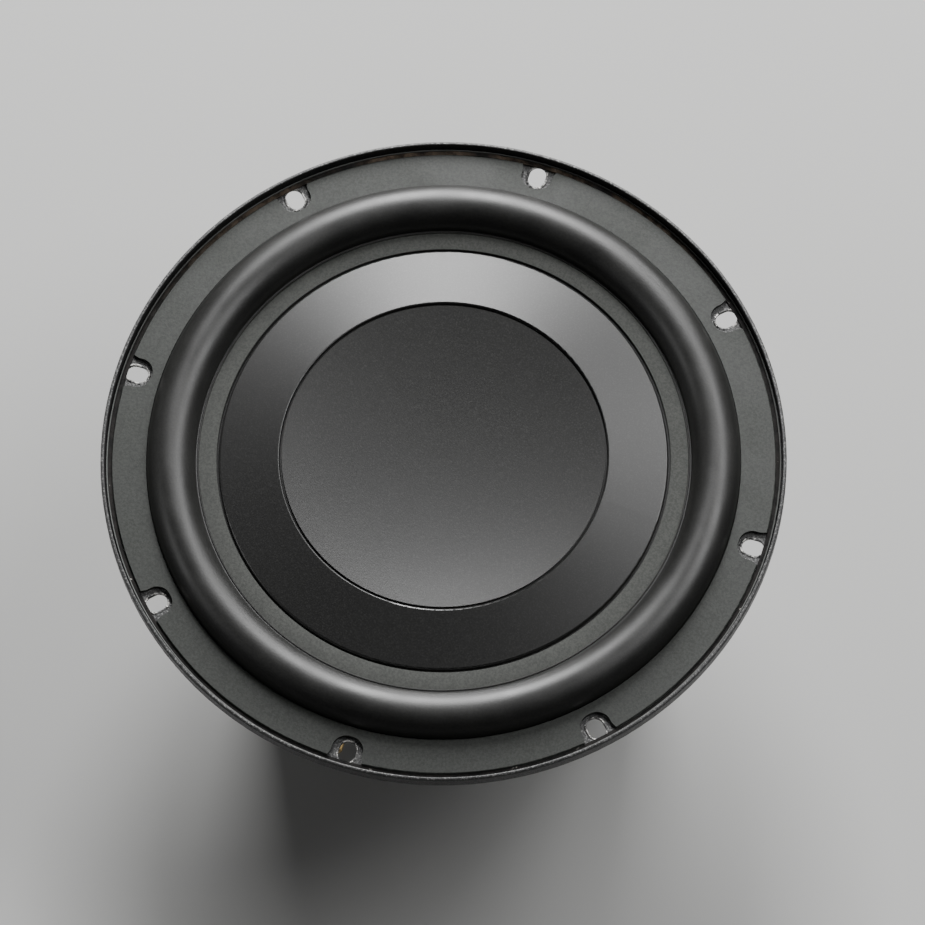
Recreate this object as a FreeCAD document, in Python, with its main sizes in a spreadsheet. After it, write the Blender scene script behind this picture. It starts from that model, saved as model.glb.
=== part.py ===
import FreeCAD, Part

# A 10-inch class subwoofer driver, lying on its magnet with the cone facing up.
# Millimetres. The origin is the centre of the flange's rear face, the face that seats on a
# baffle. +Z runs out of the front along the cone's axis. -Y points at the terminals.

import math
import os
import re

import Sketcher
from FreeCAD import Placement, Rotation, Vector

os.makedirs("parts", exist_ok=True)
doc = FreeCAD.newDocument("subwoofer_driver")

DRIVING_SIZES = {
    # basket: one pressed steel sheet; depths are measured down from the flange's rear face
    "rim_radius": 133.0,
    "rim_height": 6.7,
    "lip_width": 1.45,
    "lip_shoulder": 0.95,
    "lip_foot_radius": 131.3,
    "sheet_thickness": 1.5,
    "throat_radius": 112.6,
    "shoulder_radius": 83.5,
    "shoulder_depth": 40.0,
    "ledge_outer_radius": 80.0,
    "ledge_inner_radius": 65.0,
    "ledge_depth": 46.0,
    "floor_radius": 62.5,
    "floor_depth": 62.5,
    "centre_hole_radius": 34.0,
    "wall_shift": 1.9,
    # eight oval screw slots in the flange
    "slot_count": 8.0,
    "slot_circle_radius": 125.0,
    "slot_width": 6.8,
    "slot_length": 8.9,
    # eight windows in the conical wall, with a spoke under each screw slot
    "window_top_depth": 8.0,
    "window_low_depth": 37.5,
    "window_top_width": 64.0,
    "window_low_width": 52.0,
    "window_corner": 6.0,
    "rib_width": 8.0,
    "rib_height": 1.6,
    # gasket ring: its top falls gently outward to a groove and a thin bead
    "gasket_outer_radius": 128.8,
    "gasket_inner_radius": 115.35,
    "gasket_top": 3.7,
    "gasket_edge_top": 3.0,
    "groove_floor": 1.9,
    "bead_inner_radius": 130.4,
    "bead_outer_radius": 130.95,
    "bead_top": 3.2,
    "notch_radius": 6.1,
    "notch_mouth": 7.4,
    # surround: half-roll with a flat on each side
    "roll_inner_radius": 96.2,
    "roll_outer_radius": 115.2,
    "roll_inner_height": 3.0,
    "roll_rise": 8.0,
    "rubber_thickness": 1.2,
    "surround_outer_radius": 118.9,
    "landing_inner_radius": 88.05,
    "landing_step": 0.25,
    "landing_gap": 0.32,
    # cone ring, dish and cone body
    "ring_outer_radius": 87.25,
    "ring_outer_height": 3.8,
    "ring_inner_radius": 63.45,
    "ring_inner_height": 7.6,
    "ring_thickness": 1.5,
    "ring_ledge_radius": 60.2,
    "ring_ledge_height": 6.1,
    "landing_outer_radius": 95.8,
    "dish_radius": 62.65,
    "dish_edge_height": 7.2,
    "dish_depth": 4.0,
    "dish_thickness": 1.2,
    "cone_wall": 1.2,
    "cone_mouth_radius": 60.0,
    "cone_mouth_height": 4.55,
    "cone_neck_depth": 31.0,
    # voice coil on its former
    "former_inner_radius": 25.4,
    "former_wall": 0.3,
    "former_top_depth": 29.0,
    "former_low_depth": 83.0,
    "coil_outer_radius": 27.3,
    "coil_length": 28.0,
    "coil_middle_depth": 68.0,
    # spider
    "spider_neck_radius": 26.0,
    "spider_outer_radius": 78.5,
    "spider_flat_radius": 64.3,
    "spider_rolls": 6.0,
    "spider_wave": 2.2,
    "cloth_thickness": 0.8,
    # motor
    "plate_radius": 74.0,
    "plate_thickness": 8.0,
    "plate_bore_radius": 28.0,
    "magnet_radius": 78.0,
    "magnet_bore_radius": 42.0,
    "magnet_thickness": 20.0,
    "magnet_chamfer": 1.6,
    "back_thickness": 12.0,
    "pole_radius": 24.9,
    "pole_top_depth": 62.0,
    "vent_radius": 10.0,
    "vent_flare": 4.0,
    "shorting_outer_radius": 31.0,
    "shorting_length": 9.0,
    "screen_radius": 15.5,
    "screen_thickness": 0.8,
    "screen_recess": 2.0,
    "screen_hole_radius": 1.0,
    "screen_pitch": 2.8,
    # rivets between basket and top plate
    "rivet_count": 6.0,
    "rivet_circle_radius": 50.0,
    "rivet_radius": 2.5,
    "rivet_head_radius": 4.6,
    "rivet_head_height": 1.9,
    "rivet_bite": 6.0,
    "rivet_clearance": 0.05,
    # terminals on the spoke at -Y
    "block_half_width": 21.0,
    "block_top_depth": 22.5,
    "block_low_depth": 45.0,
    "block_face_reach": 102.0,
    "block_clearance": 0.3,
    "post_offset": 12.0,
    "post_depth": 34.0,
    "post_foot_reach": 95.6,
    "post_floor": 1.6,
    "post_radius": 5.4,
    "post_bore_radius": 4.05,
    "post_reach": 114.0,
    "post_collar_radius": 6.6,
    "post_collar_length": 1.6,
    "tail_radius": 1.7,
    "tail_reach": 79.0,
    "wire_hole_radius": 1.8,
    "wire_hole_reach": 106.2,
    "button_radius": 3.95,
    "button_reach": 117.4,
    "button_foot_reach": 105.0,
    "button_foot_length": 2.2,
    "button_waist_reach": 112.0,
    "button_waist_radius": 2.0,
    "spring_radius": 3.0,
    "spring_wire_radius": 0.3,
    "spring_pitch": 1.25,
    "block_rivet_radius": 1.75,
    "block_rivet_head_radius": 3.4,
    "block_rivet_head_height": 1.4,
    "block_rivet_high_depth": 28.0,
    "block_rivet_low_depth": 37.0,
    "lug_width": 6.0,
    "lug_length": 9.0,
    "lug_thickness": 0.8,
    # braided leads from the lugs to the eyelets on the cone
    "lead_radius": 0.9,
    "eyelet_radius": 2.4,
    "eyelet_bore_radius": 0.95,
    "eyelet_length": 2.6,
}


def make_sheet():
    """One row for each driving size: its name in column A, its value under that alias in B."""
    cells = doc.addObject("Spreadsheet::Sheet", "dims")
    for row, (alias, number) in enumerate(DRIVING_SIZES.items(), start=1):
        cells.set(f"A{row}", alias)
        cells.set(f"B{row}", str(number))
        cells.setAlias(f"B{row}", alias)
    doc.recompute()
    return cells


sheet = make_sheet()


def formula(text):
    """A formula in size names, written the way the document's expressions name the cells."""
    return re.sub(
        r"[a-z_]+",
        lambda word: f"dims.{word.group(0)}" if word.group(0) in DRIVING_SIZES else word.group(0),
        str(text),
    )


def size(text):
    """The present value of a formula, in millimetres or plain units."""
    return float(sheet.evalExpression(formula(text)))


def bind(item, **formulas):
    """Bind properties of an object to formulas; place_x, place_y and place_z move it."""
    for name, text in formulas.items():
        path = f".Placement.Base.{name[-1]}" if name.startswith("place_") else name
        item.setExpression(path, formula(text))


# ---------------------------------------------------------------- sketches and features


def origin_item(body, role):
    return next(item for item in body.Origin.OriginFeatures if item.Role == role)


def new_body(label):
    body = doc.addObject("PartDesign::Body", label)
    body.Label = label
    return body


def new_sketch(body, name, plane, turn_axis=Vector(0, 0, 1), turn=0.0, rise="0"):
    """A sketch on one of the body's own origin planes, turned by so many degrees, and
    raised along the plane's normal."""
    sketch = body.newObject("Sketcher::SketchObject", f"{body.Name}_{name}")
    sketch.AttachmentSupport = [(origin_item(body, plane), "")]
    sketch.MapMode = "FlatFace"
    sketch.AttachmentOffset = Placement(Vector(0, 0, 0), Rotation(turn_axis, turn))
    sketch.setExpression(".AttachmentOffset.Base.z", formula(rise))
    return sketch


def hold(sketch, kind, geometry, point, text):
    """Fix a point's distance from the sketch's origin, along X or Y, to a formula."""
    index = sketch.addConstraint(Sketcher.Constraint(kind, -1, 1, geometry, point, size(text)))
    sketch.setExpression(f"Constraints[{index}]", formula(text))


def draw_outline(sketch, corners):
    """A closed outline. Each corner is (x, y) or (x, y, radius), as formulas. A rounded
    corner is an arc tangent to its two sides, whose lines still aim at the corner's point."""
    count = len(corners)
    points = [Vector(size(corner[0]), size(corner[1]), 0) for corner in corners]
    radii = [size(corner[2]) if len(corner) > 2 else 0.0 for corner in corners]
    starts, ends, arcs = [], [], {}
    for index, point in enumerate(points):
        before = (points[index - 1] - point).normalize()
        after = (points[(index + 1) % count] - point).normalize()
        if radii[index] == 0.0:
            ends.append(point)
            starts.append(point)
            continue
        half = before.getAngle(after) / 2
        back_off = radii[index] / math.tan(half)
        centre = point + (before + after).normalize() * (radii[index] / math.sin(half))
        middle = centre + (point - centre).normalize() * radii[index]
        ends.append(point + before * back_off)
        starts.append(point + after * back_off)
        arcs[index] = Part.Arc(ends[index], middle, starts[index])
    sides = []
    for index in range(count):
        side = Part.LineSegment(starts[index], ends[(index + 1) % count])
        sides.append(sketch.addGeometry(side, False))
    for index in range(count):
        x_text, y_text = corners[index][0], corners[index][1]
        before, after = sides[index - 1], sides[index]
        if index not in arcs:
            sketch.addConstraint(Sketcher.Constraint("Coincident", before, 2, after, 1))
            hold(sketch, "DistanceX", after, 1, x_text)
            hold(sketch, "DistanceY", after, 1, y_text)
            continue
        arc = sketch.addGeometry(arcs[index], False)
        first = arc_end_nearest(sketch, arc, ends[index])
        sketch.addConstraint(Sketcher.Constraint("Tangent", before, 2, arc, first))
        sketch.addConstraint(Sketcher.Constraint("Tangent", arc, 3 - first, after, 1))
        radius = sketch.addConstraint(Sketcher.Constraint("Radius", arc, radii[index]))
        sketch.setExpression(f"Constraints[{radius}]", formula(corners[index][2]))
        aim = sketch.addGeometry(Part.Point(points[index]), True)
        sketch.addConstraint(Sketcher.Constraint("PointOnObject", aim, 1, before))
        sketch.addConstraint(Sketcher.Constraint("PointOnObject", aim, 1, after))
        hold(sketch, "DistanceX", aim, 1, x_text)
        hold(sketch, "DistanceY", aim, 1, y_text)


def arc_end_nearest(sketch, arc, point):
    """1 if the arc starts at the point, 2 if it ends there."""
    to_start = sketch.getPoint(arc, 1).distanceToPoint(point)
    to_end = sketch.getPoint(arc, 2).distanceToPoint(point)
    return 1 if to_start < to_end else 2


def draw_circle(sketch, x_text, y_text, radius_text):
    centre = Vector(size(x_text), size(y_text), 0)
    circle = sketch.addGeometry(Part.Circle(centre, Vector(0, 0, 1), size(radius_text)), False)
    hold(sketch, "DistanceX", circle, 3, x_text)
    hold(sketch, "DistanceY", circle, 3, y_text)
    radius = sketch.addConstraint(Sketcher.Constraint("Radius", circle, size(radius_text)))
    sketch.setExpression(f"Constraints[{radius}]", formula(radius_text))


def draw_slot(sketch, middle_text, length_text, width_text):
    """A slot along Y with round ends, centred on a point of the Y axis."""
    radius = size(width_text) / 2
    upper_text = f"{middle_text} + ({length_text} - {width_text}) / 2"
    lower_text = f"{middle_text} - ({length_text} - {width_text}) / 2"
    upper, lower = Vector(0, size(upper_text), 0), Vector(0, size(lower_text), 0)
    side = Vector(radius, 0, 0)
    end = Vector(0, radius, 0)
    right = sketch.addGeometry(Part.LineSegment(lower + side, upper + side), False)
    far_arc = sketch.addGeometry(Part.Arc(upper + side, upper + end, upper - side), False)
    left = sketch.addGeometry(Part.LineSegment(upper - side, lower - side), False)
    near_arc = sketch.addGeometry(Part.Arc(lower - side, lower - end, lower + side), False)
    for before, after in ((right, far_arc), (far_arc, left), (left, near_arc), (near_arc, right)):
        sketch.addConstraint(Sketcher.Constraint("Tangent", before, 2, after, 1))
    for arc, text in ((far_arc, upper_text), (near_arc, lower_text)):
        hold(sketch, "DistanceX", arc, 3, "0")
        hold(sketch, "DistanceY", arc, 3, text)
        index = sketch.addConstraint(Sketcher.Constraint("Radius", arc, radius))
        sketch.setExpression(f"Constraints[{index}]", formula(f"{width_text} / 2"))


def revolve(body, corners, name="section"):
    """Turn an outline of (radius, height) corners a full turn about the Z axis."""
    sketch = new_sketch(body, name, "XZ_Plane")
    draw_outline(sketch, corners)
    turned = body.newObject("PartDesign::Revolution", f"{body.Name}_{name}_turned")
    turned.Profile = sketch
    turned.ReferenceAxis = (sketch, ["V_Axis"])
    turned.Angle = 360.0
    doc.recompute()
    return turned


def cut_through(body, sketch, both_ways=True, reach="rim_radius", reverse=False):
    """Pocket a sketch and check that it took something off the body."""
    before = body.Shape.Volume
    pocket = body.newObject("PartDesign::Pocket", f"{sketch.Name}_pocket")
    pocket.Profile = sketch
    pocket.Type = "Length"
    pocket.SideType = "Symmetric" if both_ways else "One side"
    pocket.Reversed = reverse
    bind(pocket, Length=reach)
    doc.recompute()
    if not pocket.Shape.Volume < before - 0.01:
        raise RuntimeError(f"{pocket.Name} cut nothing")
    return pocket


def repeat_round(body, feature, count_text):
    """Repeat a feature evenly about the Z axis."""
    pattern = body.newObject("PartDesign::PolarPattern", f"{feature.Name}_round")
    pattern.Originals = [feature]
    pattern.Axis = (origin_item(body, "Z_Axis"), [""])
    pattern.Angle = 360.0
    bind(pattern, Occurrences=count_text)
    body.Tip = pattern
    doc.recompute()
    return pattern


def chamfer_rings(body, base, rings, width_text):
    """Chamfer a turned body's circular edges, each given by its radius and height."""
    names = [ring_edge(base.Shape, size(radius), size(height)) for radius, height in rings]
    cut = body.newObject("PartDesign::Chamfer", f"{body.Name}_edges")
    cut.Base = (base, names)
    bind(cut, Size=width_text)
    doc.recompute()
    return cut


def ring_edge(shape, radius, height):
    for number, edge in enumerate(shape.Edges, start=1):
        curve = edge.Curve
        if isinstance(curve, Part.Circle):
            if abs(curve.Radius - radius) < 0.01 and abs(curve.Center.z - height) < 0.01:
                return f"Edge{number}"
    raise RuntimeError(f"no edge of radius {radius} at height {height}")


# ------------------------------------------------------------- primitives and booleans


def upright(name, radius_text, low_text, high_text, x_text="0", y_text="0"):
    """A cylinder along Z between two heights."""
    cylinder = doc.addObject("Part::Cylinder", name)
    bind(cylinder, Radius=radius_text, Height=f"({high_text}) - ({low_text})")
    bind(cylinder, place_x=x_text, place_y=y_text, place_z=low_text)
    return cylinder


def toward_back(name, radius_text, near_text, far_text, x_text, z_text):
    """A cylinder along -Y, between two distances from the axis."""
    cylinder = doc.addObject("Part::Cylinder", name)
    cylinder.Placement = Placement(Vector(0, 0, 0), Rotation(Vector(1, 0, 0), 90))
    bind(cylinder, Radius=radius_text, Height=f"({far_text}) - ({near_text})")
    bind(cylinder, place_x=x_text, place_y=f"-({near_text})", place_z=z_text)
    return cylinder


def slab(name, x_low, x_high, y_low, y_high, z_low, z_high):
    """A box between six formulas."""
    box = doc.addObject("Part::Box", name)
    bind(box, Length=f"({x_high}) - ({x_low})", Width=f"({y_high}) - ({y_low})")
    bind(box, Height=f"({z_high}) - ({z_low})")
    bind(box, place_x=x_low, place_y=y_low, place_z=z_low)
    return box


def cut(name, base, *tools):
    tool = tools[0] if len(tools) == 1 else join(f"{name}_tools", *tools)
    result = doc.addObject("Part::Cut", name)
    result.Base = base
    result.Tool = tool
    return result


def join(name, *pieces):
    result = doc.addObject("Part::MultiFuse", name)
    result.Shapes = list(pieces)
    return result


def tube(name, outer_text, inner_text, low_text, high_text):
    """A plain ring or tube round the Z axis."""
    outside = upright(f"{name}_outside", outer_text, low_text, high_text)
    inside = upright(f"{name}_inside", inner_text, low_text, high_text)
    return cut(name, outside, inside)


# --------------------------------------------------------------------------- the basket

WALL_SLOPE = "(throat_radius - shoulder_radius) / shoulder_depth"


def wall_radius(depth_text):
    """Radius of the conical wall's outer face at a depth below the flange."""
    return f"(throat_radius + wall_shift - ({depth_text}) * {WALL_SLOPE})"


def make_basket():
    body = new_body("basket")
    revolve(body, [
        ("rim_radius", "0", "1.2"),
        ("rim_radius", "rim_height", "lip_shoulder"),
        ("rim_radius - lip_width", "rim_height", "lip_width - lip_shoulder - 0.05"),
        ("lip_foot_radius", "sheet_thickness", "0.3"),
        ("throat_radius", "sheet_thickness", "2.5"),
        ("shoulder_radius", "-shoulder_depth", "5"),
        ("ledge_outer_radius", "-ledge_depth", "2"),
        ("ledge_inner_radius", "-ledge_depth", "1.5"),
        ("floor_radius", "-floor_depth", "2"),
        ("centre_hole_radius", "-floor_depth"),
        ("centre_hole_radius", "-floor_depth - sheet_thickness"),
        ("floor_radius + sheet_thickness", "-floor_depth - sheet_thickness", "3"),
        ("ledge_inner_radius + sheet_thickness", "-ledge_depth - sheet_thickness", "0.8"),
        ("ledge_outer_radius + sheet_thickness", "-ledge_depth - sheet_thickness", "3"),
        ("shoulder_radius + wall_shift", "-shoulder_depth", "6"),
        ("throat_radius + wall_shift", "0", "1.2"),
    ])
    cut_windows(body)
    cut_slots(body)
    add_ribs(body)
    drill_rivet_holes(body)
    drill_terminal_holes(body)
    return body


def cut_windows(body):
    half_step = size("180 / slot_count")
    sketch = new_sketch(body, "window", "XZ_Plane", Vector(0, 1, 0), half_step)
    draw_outline(sketch, [
        ("-window_top_width / 2", "-window_top_depth", "window_corner"),
        ("window_top_width / 2", "-window_top_depth", "window_corner"),
        ("window_low_width / 2", "-window_low_depth", "window_corner"),
        ("-window_low_width / 2", "-window_low_depth", "window_corner"),
    ])
    repeat_round(body, cut_through(body, sketch, both_ways=False), "slot_count")


def cut_slots(body):
    """Oval screw slots, long way along the radius; the first is on +Y."""
    sketch = new_sketch(body, "screw_slot", "XY_Plane")
    draw_slot(sketch, "slot_circle_radius", "slot_length", "slot_width")
    repeat_round(body, cut_through(body, sketch, reach="6 * sheet_thickness"), "slot_count")


def drill_rivet_holes(body):
    sketch = new_sketch(body, "rivet_hole", "XY_Plane")
    draw_circle(sketch, "rivet_circle_radius", "0", "rivet_radius + rivet_clearance")
    hole = cut_through(body, sketch, reach="4 * floor_depth")
    repeat_round(body, hole, "rivet_count")


def drill_terminal_holes(body):
    """Two rivet holes in the spoke at -Y, under the terminal block."""
    sketch = new_sketch(body, "terminal_hole", "XZ_Plane")
    for depth in ("block_rivet_high_depth", "block_rivet_low_depth"):
        draw_circle(sketch, "0", f"-{depth}", "block_rivet_radius + rivet_clearance")
    cut_through(body, sketch, both_ways=False, reverse=True)


def add_ribs(body):
    """A pressed rib down the outside of each spoke."""
    sketch = new_sketch(body, "rib", "YZ_Plane")
    top, low = "window_top_depth - 3", "window_low_depth + 2"
    draw_outline(sketch, [
        (f"{wall_radius(top)} - 0.5", f"-({top})"),
        (f"{wall_radius(low)} - 0.5", f"-({low})"),
        (f"{wall_radius(f'{low} - 1')} + rib_height", f"-({low}) + 1", "0.6"),
        (f"{wall_radius(f'{top} + 3')} + rib_height", f"-({top}) - 3", "1.2"),
    ])
    rib = body.newObject("PartDesign::Pad", "basket_rib_pad")
    rib.Profile = sketch
    rib.SideType = "Symmetric"
    bind(rib, Length="rib_width")
    doc.recompute()
    repeat_round(body, rib, "slot_count")


# ------------------------------------------------------------- gasket, surround, spider


def make_gasket():
    body = new_body("gasket_ring")
    under_rubber = "sheet_thickness + rubber_thickness"
    revolve(body, [
        ("gasket_inner_radius", under_rubber),
        ("surround_outer_radius + 0.1", under_rubber),
        ("surround_outer_radius + 0.1", "sheet_thickness"),
        ("bead_outer_radius", "sheet_thickness", "0.3"),
        ("bead_outer_radius", "bead_top", "0.25"),
        ("bead_inner_radius", "bead_top", "0.25"),
        ("bead_inner_radius", "groove_floor", "0.3"),
        ("gasket_outer_radius", "groove_floor", "0.3"),
        ("gasket_outer_radius", "gasket_edge_top", "0.4"),
        ("gasket_inner_radius", "gasket_top", "0.2"),
    ])
    sketch = new_sketch(body, "notch", "XY_Plane")
    bottom = "slot_circle_radius - notch_radius + 0.2"
    mouth = "bead_inner_radius - 0.4"
    round_end = "notch_radius - 0.6"
    draw_outline(sketch, [
        ("-notch_radius", bottom, round_end),
        ("notch_radius", bottom, round_end),
        ("notch_radius", "slot_circle_radius + 1.2", "2.5"),
        ("notch_mouth", mouth),
        ("-notch_mouth", mouth),
        ("-notch_radius", "slot_circle_radius + 1.2", "2.5"),
    ])
    repeat_round(body, cut_through(body, sketch, reach="6 * gasket_top"), "slot_count")
    return body


def make_surround():
    """Half-roll rubber: flat outer lip under the gasket, roll, flat landing on the ring."""
    body = new_body("surround")
    middle = "(roll_inner_radius + roll_outer_radius) / 2"
    crown = "roll_inner_height + roll_rise + 0.9"
    foot = "sheet_thickness + 0.02"
    lip_top = "sheet_thickness + rubber_thickness - 0.02"
    landing_top = "ring_outer_height - landing_step"
    revolve(body, [
        ("landing_inner_radius", f"{landing_top} - rubber_thickness + landing_gap"),
        ("roll_inner_radius", "roll_inner_height - rubber_thickness + landing_gap"),
        ("roll_inner_radius + 1.4", f"{crown} - rubber_thickness", "6"),
        ("roll_outer_radius - 1.4", f"{crown} - rubber_thickness", "6"),
        ("roll_outer_radius - 1.1", foot),
        ("surround_outer_radius", foot),
        ("surround_outer_radius", lip_top),
        ("roll_outer_radius", lip_top),
        ("roll_outer_radius - 0.2", crown, "8"),
        (middle, crown),
        ("roll_inner_radius + 0.2", crown, "8"),
        ("roll_inner_radius", "roll_inner_height"),
        ("landing_inner_radius", landing_top, "0.3"),
    ])
    return body


def make_spider():
    """Corrugated cloth ring: neck on the coil former, flat rim glued to the basket's ledge."""
    body = new_body("spider")
    rest = "-ledge_depth + 0.02"
    pitch = "(spider_flat_radius - spider_neck_radius - 3) / spider_rolls"
    waves = []
    for step in range(int(size("spider_rolls")) * 2):
        sign = "+" if step % 2 == 0 else "-"
        radius = f"spider_flat_radius - ({pitch}) * ({step} + 0.5) / 2"
        waves.append((radius, f"{rest} {sign} spider_wave", "1.2"))
    under = [("spider_outer_radius", rest), ("spider_flat_radius + 1", rest)]
    under += waves
    under += [("spider_neck_radius + 1.5", rest), ("spider_neck_radius", rest)]
    lifted = [(corner[0], f"{corner[1]} + cloth_thickness", *corner[2:]) for corner in under]
    revolve(body, under + lifted[::-1])
    return body


# ------------------------------------------------------------------ the moving assembly


def make_cone_ring():
    """Satin ring that rises towards its middle, with a recess outside for the rubber and a
    ledge inside for the dish."""
    body = new_body("cone_ring")
    seat = "ring_outer_height - rubber_thickness - 0.3"
    seat_edge = "roll_inner_height - rubber_thickness - 0.05"
    revolve(body, [
        ("ring_inner_radius", "ring_ledge_height"),
        ("ring_inner_radius", "ring_inner_height", "0.7"),
        ("ring_outer_radius", "ring_outer_height", "1.0"),
        ("ring_outer_radius", seat),
        ("landing_outer_radius", seat_edge, "0.3"),
        ("landing_outer_radius", f"{seat_edge} - ring_thickness", "0.3"),
        ("ring_outer_radius - 1", f"{seat} - ring_thickness", "3"),
        ("ring_inner_radius + 2", "ring_inner_height - 2 * ring_thickness - 0.2", "3"),
        ("ring_inner_radius", "cone_mouth_height + 0.1"),
        ("ring_ledge_radius", "cone_mouth_height + 0.1"),
        ("ring_ledge_radius", "ring_ledge_height", "0.3"),
    ])
    return body


def make_dust_cap():
    """Concave dish: the shell between two spheres, trimmed to the dish's edge."""
    radius = "(dish_radius ^ 2 / dish_depth + dish_depth) / 2"
    edge_floor = "ring_ledge_height + 0.02"
    centre_height = f"dish_edge_height - dish_depth + {radius}"
    disc = upright("dust_cap_disc", "dish_radius", "-10", "dish_edge_height")
    hollow = doc.addObject("Part::Sphere", "dust_cap_hollow")
    bind(hollow, Radius=radius, place_z=centre_height)
    back = doc.addObject("Part::Sphere", "dust_cap_back")
    bind(back, Radius=f"{radius} + dish_thickness", place_z=centre_height)
    shell = doc.addObject("Part::Common", "dust_cap_shell")
    shell.Base = disc
    shell.Tool = back
    dished = cut("dust_cap_dished", shell, hollow)
    skirt = tube("dust_cap_skirt", "dish_radius + 5", "ring_ledge_radius - 0.5", "-11", edge_floor)
    return cut("dust_cap", dished, skirt)


def make_cone_body():
    """Drive cone from the coil former up to the ring's ledge."""
    body = new_body("cone_body")
    neck = "former_inner_radius + former_wall"
    revolve(body, [
        (neck, "-cone_neck_depth - 1.5"),
        (f"{neck} + cone_wall", "-cone_neck_depth - 1.5"),
        (f"{neck} + cone_wall + 0.4", "-cone_neck_depth", "1"),
        ("cone_mouth_radius + cone_wall", "cone_mouth_height - 1.6", "1.5"),
        ("ring_inner_radius - 0.3", "cone_mouth_height - 1.2"),
        ("ring_inner_radius - 0.3", "cone_mouth_height + 0.08"),
        ("cone_mouth_radius - 0.6", "cone_mouth_height + 0.08", "1.5"),
        (neck, "-cone_neck_depth + 2"),
    ])
    return body


def make_coil_former():
    return tube(
        "coil_former",
        "former_inner_radius + former_wall",
        "former_inner_radius",
        "-former_low_depth",
        "-former_top_depth",
    )


def make_voice_coil():
    low = "-coil_middle_depth - coil_length / 2"
    high = "-coil_middle_depth + coil_length / 2"
    return tube("voice_coil", "coil_outer_radius", "former_inner_radius + former_wall", low, high)


# ---------------------------------------------------------------------------- the motor

PLATE_TOP = "-floor_depth - sheet_thickness"
PLATE_LOW = f"{PLATE_TOP} - plate_thickness"
MAGNET_JOIN = f"{PLATE_LOW} - magnet_thickness"
MAGNET_LOW = f"{MAGNET_JOIN} - magnet_thickness"
BACK_LOW = f"{MAGNET_LOW} - back_thickness"


def make_top_plate():
    body = new_body("top_plate")
    turned = revolve(body, [
        ("plate_bore_radius", PLATE_LOW),
        ("plate_radius", PLATE_LOW),
        ("plate_radius", PLATE_TOP),
        ("plate_bore_radius", PLATE_TOP),
    ])
    chamfer_rings(body, turned, [("plate_radius", PLATE_LOW), ("plate_radius", PLATE_TOP)], "1")
    sketch = new_sketch(body, "rivet_hole", "XY_Plane")
    draw_circle(sketch, "rivet_circle_radius", "0", "rivet_radius + rivet_clearance")
    depth = f"2 * (-({PLATE_TOP}) + rivet_bite + 0.2)"
    repeat_round(body, cut_through(body, sketch, reach=depth), "rivet_count")
    return body


def make_magnet(label, low, high):
    body = new_body(label)
    turned = revolve(body, [
        ("magnet_bore_radius", low),
        ("magnet_radius", low),
        ("magnet_radius", high),
        ("magnet_bore_radius", high),
    ])
    rings = [
        ("magnet_radius", low),
        ("magnet_radius", high),
        ("magnet_bore_radius", low),
        ("magnet_bore_radius", high),
    ]
    chamfer_rings(body, turned, rings, "magnet_chamfer")
    return body


def make_yoke():
    """Back plate and pole in one turned piece, with the vent bore through both. The vent's
    rear mouth is flared, and stepped for the screen."""
    body = new_body("yoke")
    recess = f"{BACK_LOW} + screen_recess"
    revolve(body, [
        ("vent_radius", f"{recess} + vent_flare"),
        ("screen_radius - 1", recess),
        ("screen_radius + 0.05", recess),
        ("screen_radius + 0.05", BACK_LOW, "0.6"),
        ("plate_radius", BACK_LOW, "2.5"),
        ("plate_radius", MAGNET_LOW, "1"),
        ("pole_radius", MAGNET_LOW),
        ("pole_radius", "-pole_top_depth", "1.2"),
        ("vent_radius", "-pole_top_depth", "2"),
    ])
    return body


def make_shorting_ring():
    return tube(
        "shorting_ring",
        "shorting_outer_radius",
        "pole_radius + 0.05",
        MAGNET_LOW,
        f"{MAGNET_LOW} + shorting_length",
    )


def make_vent_screen():
    """Punched disc in the step of the vent's rear mouth: rings of round holes."""
    low = f"{BACK_LOW} + screen_recess - screen_thickness - 0.02"
    high = f"{BACK_LOW} + screen_recess - 0.02"
    disc = upright("vent_screen_disc", "screen_radius", low, high)
    holes = [upright("vent_screen_hole_middle", "screen_hole_radius", low, high)]
    for ring in range(1, 5):
        for step in range(6 * ring):
            turn = 60 / ring * step
            x_text = f"screen_pitch * {ring} * cos({turn})"
            y_text = f"screen_pitch * {ring} * sin({turn})"
            name = f"vent_screen_hole_{ring}_{step}"
            holes.append(upright(name, "screen_hole_radius", low, high, x_text, y_text))
    return cut("vent_screen", disc, *holes)


def make_frame_rivets():
    """Rivets through the basket's floor into the top plate."""
    pieces = []
    head_low = "-floor_depth + 0.02"
    for step in range(int(size("rivet_count"))):
        x_text = f"rivet_circle_radius * cos({step} * 360 / rivet_count)"
        y_text = f"rivet_circle_radius * sin({step} * 360 / rivet_count)"
        shank_low = f"{PLATE_TOP} - rivet_bite"
        shank = upright(f"frame_rivet_shank_{step}", "rivet_radius", shank_low, head_low,
                        x_text, y_text)
        head = doc.addObject("Part::Cone", f"frame_rivet_head_{step}")
        bind(head, Radius1="rivet_head_radius", Radius2="rivet_head_radius * 0.55")
        bind(head, Height="rivet_head_height")
        bind(head, place_x=x_text, place_y=y_text, place_z=head_low)
        pieces += [shank, head]
    return join("frame_rivets", *pieces)


# ------------------------------------------------------------------------ the terminals


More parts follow.
